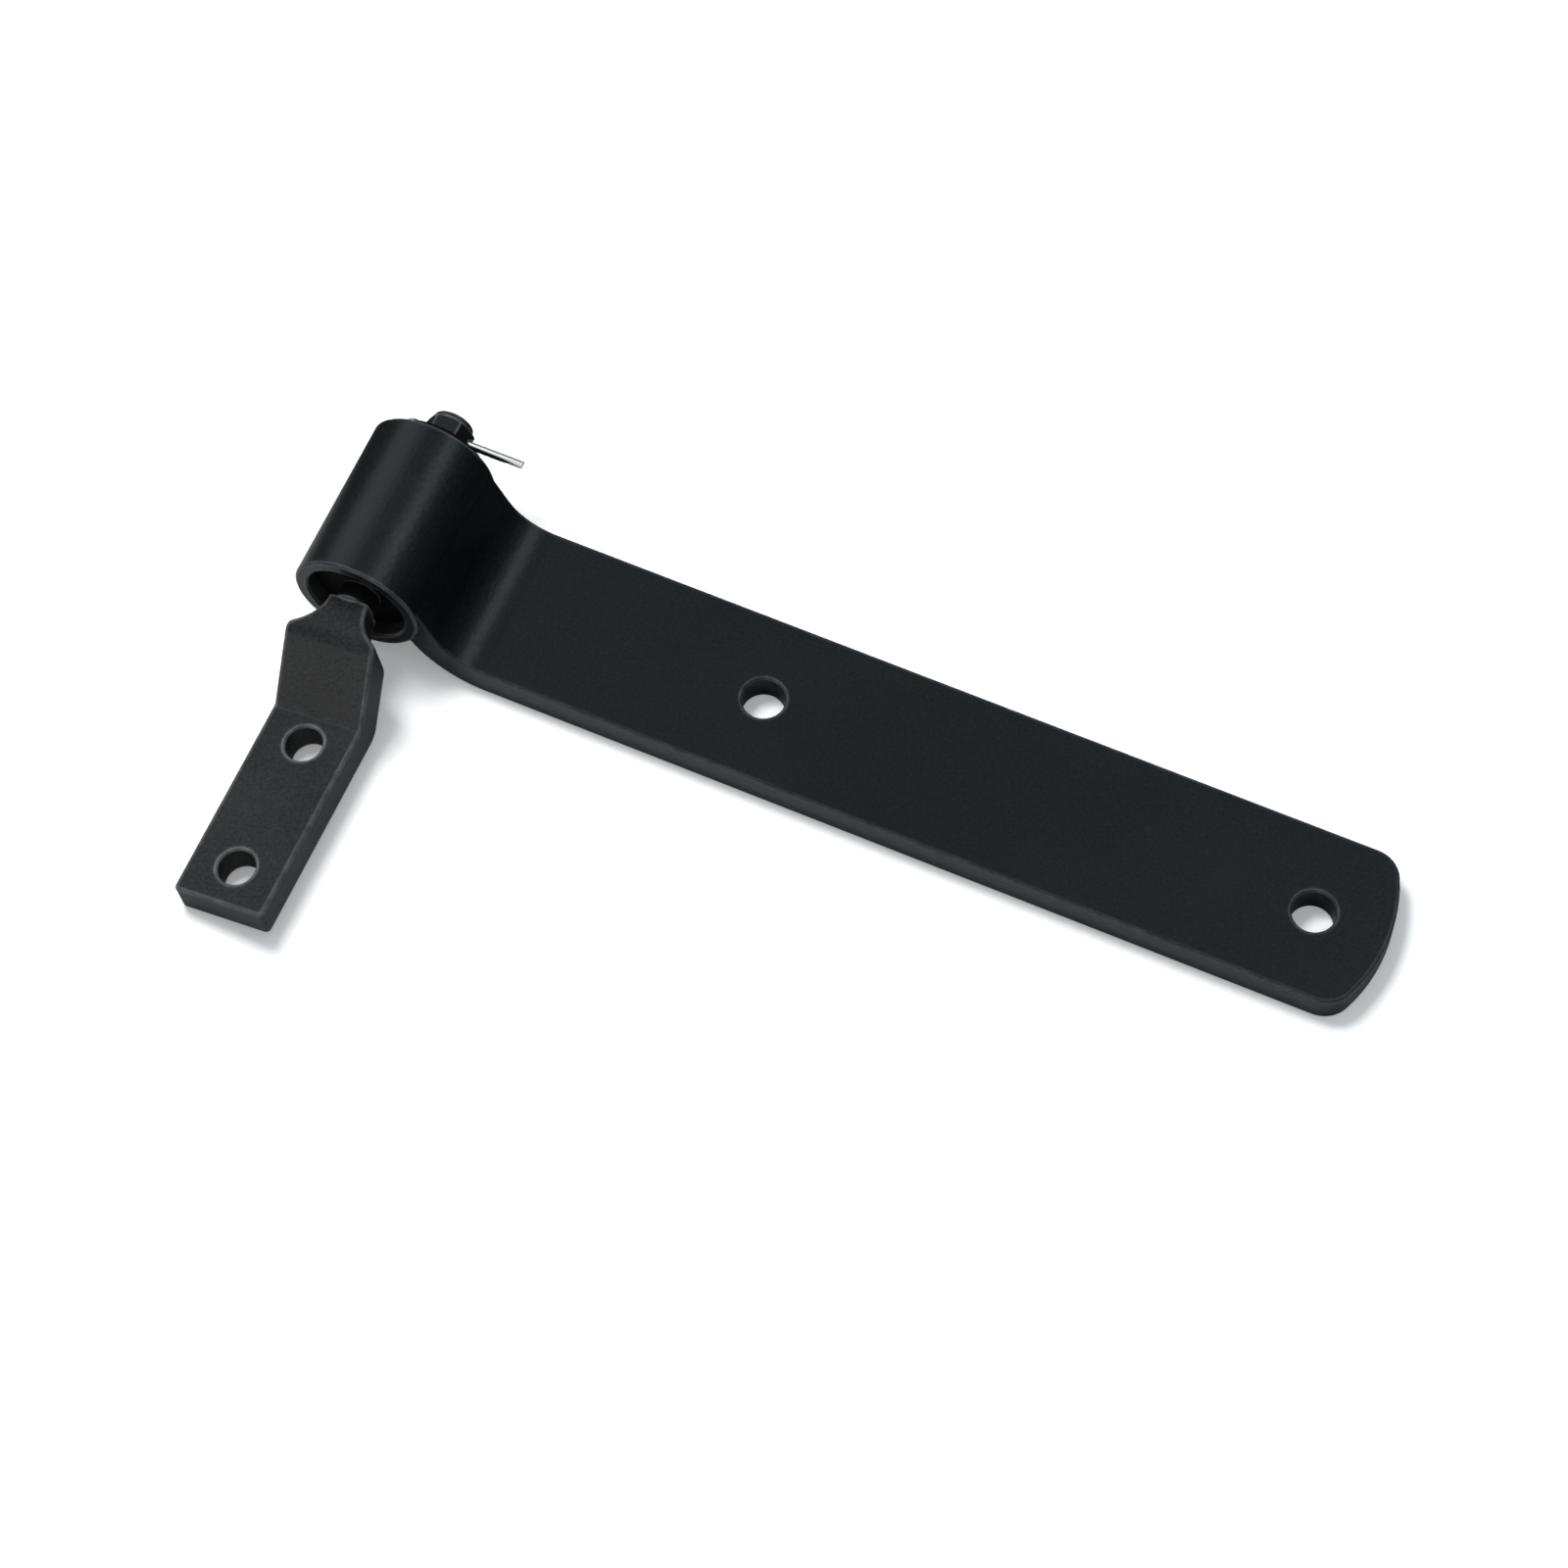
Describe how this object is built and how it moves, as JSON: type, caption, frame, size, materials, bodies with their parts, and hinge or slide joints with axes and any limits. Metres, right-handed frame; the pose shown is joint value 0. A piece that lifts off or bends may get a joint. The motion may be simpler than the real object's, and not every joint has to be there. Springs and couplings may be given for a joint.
{
  "type": "lift-off hinge",
  "caption": "Cranked flat strap with a tubular eye that turns on the pin of an offset drilled bracket, kept on by a nut and split pin.",
  "frame": {"origin": "centre of the strap's two bolt holes, in the strap's flat mounting face", "axes": "+X from the eye towards the strap's rounded tip, +Y along the hinge pin towards its nut, +Z out of the mounting face towards the side that carries the eye"},
  "size_m": [0.321, 0.1602, 0.044],
  "materials": {
    "strap": "satin black powder coat",
    "eye_tube": "satin black powder coat",
    "eye_weld": "satin black powder coat over a weld bead",
    "eye_bush": "matt black moulded plastic",
    "pintle": "fine-textured black powder coat on a forging",
    "washer": "satin black coating",
    "nut": "satin black coating",
    "split_pin": "bright plated wire"
  },
  "bodies": {
    "strap_leaf": {"strap": "strap", "eye_tube": "eye_tube", "eye_weld": "eye_weld", "eye_bush": "eye_bush"},
    "pintle_leaf": {"pintle": "pintle", "washer": "washer", "nut": "nut", "split_pin": "split_pin"}
  },
  "joints": [
    {"name": "hinge_turn", "type": "hinge", "parent": "strap_leaf", "child": "pintle_leaf", "pos_m": [-0.197, 0, 0.025], "axis": [0, 1, 0], "continuous": true}
  ]
}
